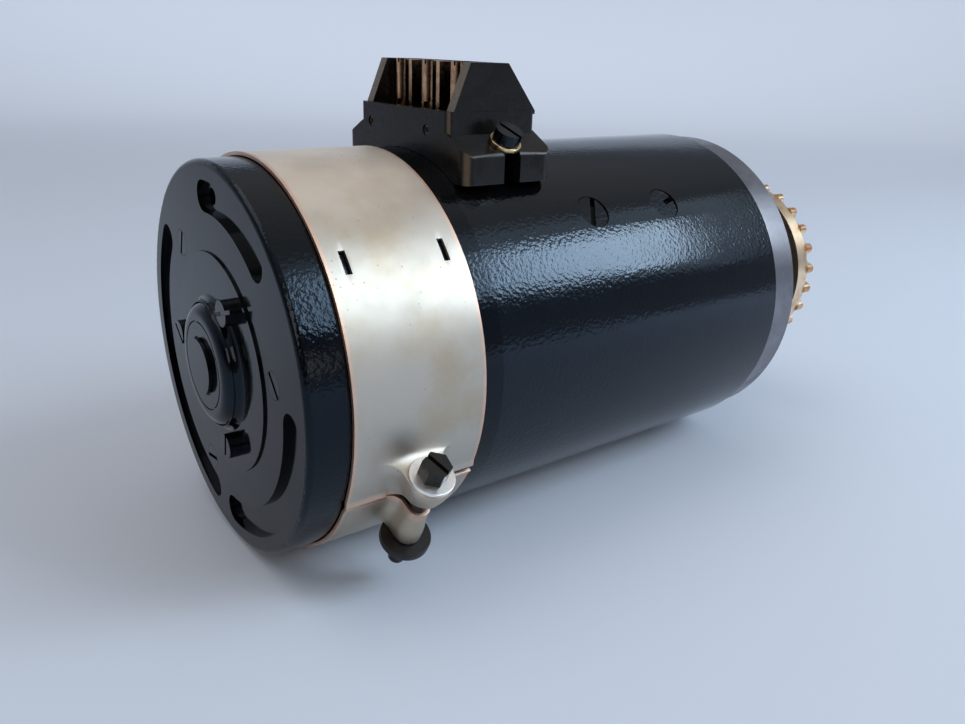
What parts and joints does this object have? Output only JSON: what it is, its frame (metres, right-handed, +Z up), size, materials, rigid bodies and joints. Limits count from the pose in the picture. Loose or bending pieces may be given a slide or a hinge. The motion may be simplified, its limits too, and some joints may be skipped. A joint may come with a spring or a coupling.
{
  "type": "car dynamo",
  "caption": "Cylindrical car dynamo with a removable cover band over its brush windows, a saddle terminal block and a toothed drive gear on a ball-bearing armature.",
  "frame": {"origin": "on the shaft axis, at the middle of the bare stretch of yoke barrel that a cradle and strap grip", "axes": "+X along the shaft towards the drive gear, +Z up through the terminal block, +Y to the left when looking from the commutator end towards the drive gear"},
  "size_m": [0.2585, 0.1272, 0.1396],
  "materials": {
    "black_enamel": "gloss",
    "yoke_enamel": "gloss, orange peel",
    "band_nickel": "satin nickel worn to copper at the edges",
    "black_oxide": "satin",
    "zinc_plate": "bright",
    "bare_steel": "turned, satin",
    "bearing_steel": "ground",
    "gear_bronze": "machined, satin",
    "dark_steel": "oiled",
    "bakelite": "satin",
    "phenolic": "satin",
    "terminal_brass": "aged",
    "bright_brass": "satin",
    "carbon": "matt",
    "commutator_copper": "turned",
    "core_iron": "varnished laminations",
    "winding_varnish": "varnished copper wire",
    "coil_tape": "varnished cotton tape",
    "felt": "oiled felt"
  },
  "bodies": {
    "frame": {"commutator_end_bracket": "black_enamel", "bearing_cover": "black_enamel", "bearing_cover_screws": "black_oxide", "brush_plate_screws": "black_oxide", "front_bearing_outer_race": "bearing_steel", "front_bearing_balls": "bearing_steel", "yoke": "yoke_enamel", "pole_shoes": "core_iron", "pole_screws": "black_oxide", "field_coils": "coil_tape", "terminal_block": "bakelite", "terminals": "terminal_brass", "terminal_screws": "terminal_brass", "terminal_block_rivets": "terminal_brass", "terminal_block_screws": "black_oxide", "terminal_block_washers": "bright_brass", "brush_plate": "phenolic", "brush_box_a": "bright_brass", "brush_box_b": "bright_brass", "spring_post_a": "bearing_steel", "spring_post_b": "bearing_steel", "drive_end_bracket": "bare_steel", "through_bolts": "dark_steel", "rear_bearing_outer_race": "bearing_steel", "rear_bearing_balls": "bearing_steel", "bearing_retainer": "dark_steel", "felt_seal": "felt"},
    "band": {"cover_band": "band_nickel", "clamp_bolt": "black_oxide", "clamp_washer": "zinc_plate", "clamp_nut": "black_oxide"},
    "armature": {"armature_shaft": "bearing_steel", "armature_core": "core_iron", "armature_windings": "winding_varnish", "commutator": "commutator_copper", "commutator_sleeve": "phenolic", "front_bearing_inner_race": "bearing_steel", "rear_bearing_inner_race": "bearing_steel", "gear_key": "dark_steel", "gear_hub": "dark_steel", "drive_gear": "gear_bronze", "gear_rivets": "bright_brass", "gear_lock_washer": "dark_steel", "gear_nut": "dark_steel"},
    "carbon_a": {"brush_a": "carbon"},
    "carbon_b": {"brush_b": "carbon"},
    "spring_a": {"brush_spring_a": "dark_steel"},
    "spring_b": {"brush_spring_b": "dark_steel"}
  },
  "joints": [
    {"name": "armature_spin", "type": "hinge", "parent": "frame", "child": "armature", "pos_m": [0, 0, 0], "axis": [1, 0, 0], "continuous": true},
    {"name": "band_slide", "type": "slide", "parent": "frame", "child": "band", "axis": [1, 0, 0], "range_m": [-0.06, 0]},
    {"name": "brush_a_slide", "type": "slide", "parent": "frame", "child": "carbon_a", "axis": [0, -0.6997, 0.7145], "range_m": [0, 0.008], "stiffness_N_per_m": 400, "springref_m": -0.015},
    {"name": "brush_b_slide", "type": "slide", "parent": "frame", "child": "carbon_b", "axis": [0, 0.6997, -0.7145], "range_m": [0, 0.008], "stiffness_N_per_m": 400, "springref_m": -0.015},
    {"name": "spring_a_swing", "type": "hinge", "parent": "frame", "child": "spring_a", "pos_m": [-0.1067, -0.04254, 0.02338], "axis": [1, 0, 0], "range_deg": [0, 32]},
    {"name": "spring_b_swing", "type": "hinge", "parent": "frame", "child": "spring_b", "pos_m": [-0.1067, 0.04254, -0.02338], "axis": [1, 0, 0], "range_deg": [0, 32]}
  ],
  "couplings": [
    {"joint": "spring_a_swing", "follows": "brush_a_slide", "rad_per_m": 69.4},
    {"joint": "spring_b_swing", "follows": "brush_b_slide", "rad_per_m": 69.4}
  ]
}
